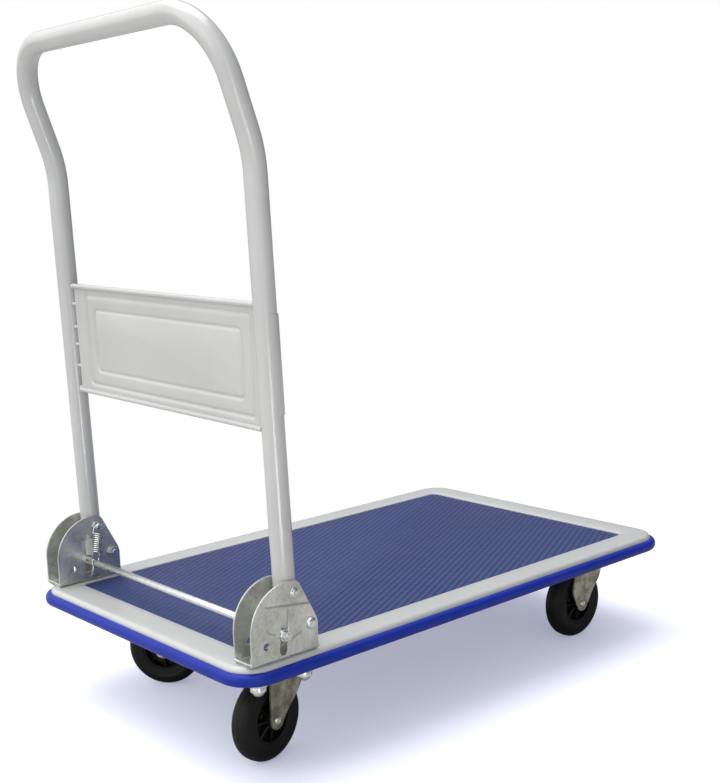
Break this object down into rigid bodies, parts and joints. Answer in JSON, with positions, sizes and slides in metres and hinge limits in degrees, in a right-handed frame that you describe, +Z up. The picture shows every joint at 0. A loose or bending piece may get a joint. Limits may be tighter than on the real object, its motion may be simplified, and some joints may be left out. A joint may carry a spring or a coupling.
{
  "type": "folding platform cart",
  "caption": "Folding platform cart: a pressed steel deck with a blue mat and bumper, a fold-down tube handle, and swivel and fixed casters.",
  "frame": {"origin": "on the floor under the middle of the deck", "axes": "+X to the front, away from the handle; +Y to the left; +Z up"},
  "size_m": [0.747, 0.469, 0.8429],
  "materials": {
    "white_paint": "gloss stove enamel",
    "blue_mat": "ribbed vinyl",
    "blue_bumper": "soft gloss",
    "zinc_plate": "bright zinc plate",
    "zinc_fasteners": "bright zinc plate",
    "spring_steel": "bright wire",
    "bearing_steel": "polished",
    "black_rubber": "satin",
    "black_plastic": "moulded"
  },
  "bodies": {
    "platform": {"deck": "white_paint", "edge_bumper": "blue_bumper", "deck_mat": "blue_mat", "cross_member_rear": "white_paint", "cross_member_front": "white_paint", "handle_bracket_left": "zinc_plate", "handle_bracket_right": "zinc_plate", "bracket_bolts": "zinc_fasteners", "bracket_nuts": "zinc_fasteners", "bracket_spacers": "zinc_fasteners", "pivot_bolts": "zinc_fasteners", "pivot_nuts": "zinc_fasteners", "stop_bolts": "zinc_fasteners", "stop_nuts": "zinc_fasteners", "stop_sleeves": "zinc_fasteners", "caster_bolts": "zinc_fasteners", "caster_nuts": "zinc_fasteners", "swivel_plate_left": "zinc_plate", "swivel_plate_right": "zinc_plate", "kingpin_left": "zinc_fasteners", "kingpin_right": "zinc_fasteners", "bearing_balls": "bearing_steel", "rigid_fork_left": "zinc_plate", "rigid_fork_right": "zinc_plate", "rigid_axle_bolts": "zinc_fasteners", "rigid_axle_nuts": "zinc_fasteners", "rigid_bushes": "zinc_fasteners"},
    "handle": {"handle_tube": "white_paint", "handle_panel": "white_paint", "pivot_bushes": "zinc_fasteners"},
    "lock_bar": {"lock_rod": "zinc_fasteners", "lock_rod_nuts": "zinc_fasteners", "spring_left": "spring_steel", "spring_right": "spring_steel"},
    "swivel_left": {"swivel_fork_left": "zinc_plate", "swivel_axle_bolt_left": "zinc_fasteners", "swivel_axle_nut_left": "zinc_fasteners", "swivel_bush_left": "zinc_fasteners"},
    "swivel_right": {"swivel_fork_right": "zinc_plate", "swivel_axle_bolt_right": "zinc_fasteners", "swivel_axle_nut_right": "zinc_fasteners", "swivel_bush_right": "zinc_fasteners"},
    "wheel_rear_left": {"tyre_rear_left": "black_rubber", "hub_rear_left": "black_plastic"},
    "wheel_rear_right": {"tyre_rear_right": "black_rubber", "hub_rear_right": "black_plastic"},
    "wheel_front_left": {"tyre_front_left": "black_rubber", "hub_front_left": "black_plastic"},
    "wheel_front_right": {"tyre_front_right": "black_rubber", "hub_front_right": "black_plastic"}
  },
  "joints": [
    {"name": "handle_fold", "type": "hinge", "parent": "platform", "child": "handle", "pos_m": [-0.2956, 0, 0.215], "axis": [0, 1, 0], "range_deg": [0, 90]},
    {"name": "lock_release", "type": "slide", "parent": "platform", "child": "lock_bar", "axis": [-0.1007, 0, -0.9949], "range_m": [0, 0.0165], "stiffness_N_per_m": 1200, "springref_m": -0.012, "deforming": ["spring_left", "spring_right"]},
    {"name": "swivel_right", "type": "hinge", "parent": "platform", "child": "swivel_right", "pos_m": [-0.261, -0.151, 0], "axis": [0, 0, 1], "continuous": true},
    {"name": "swivel_left", "type": "hinge", "parent": "platform", "child": "swivel_left", "pos_m": [-0.261, 0.151, 0], "axis": [0, 0, 1], "continuous": true},
    {"name": "wheel_rear_right", "type": "hinge", "parent": "swivel_right", "child": "wheel_rear_right", "pos_m": [-0.29094, -0.15682, 0.05], "axis": [-0.1908, 0.9816, 0], "continuous": true},
    {"name": "wheel_rear_left", "type": "hinge", "parent": "swivel_left", "child": "wheel_rear_left", "pos_m": [-0.24181, 0.1273, 0.05], "axis": [-0.7771, -0.6293, 0], "continuous": true},
    {"name": "wheel_front_right", "type": "hinge", "parent": "platform", "child": "wheel_front_right", "pos_m": [0.262, -0.151, 0.05], "axis": [0, 1, 0], "continuous": true},
    {"name": "wheel_front_left", "type": "hinge", "parent": "platform", "child": "wheel_front_left", "pos_m": [0.262, 0.151, 0.05], "axis": [0, 1, 0], "continuous": true}
  ]
}
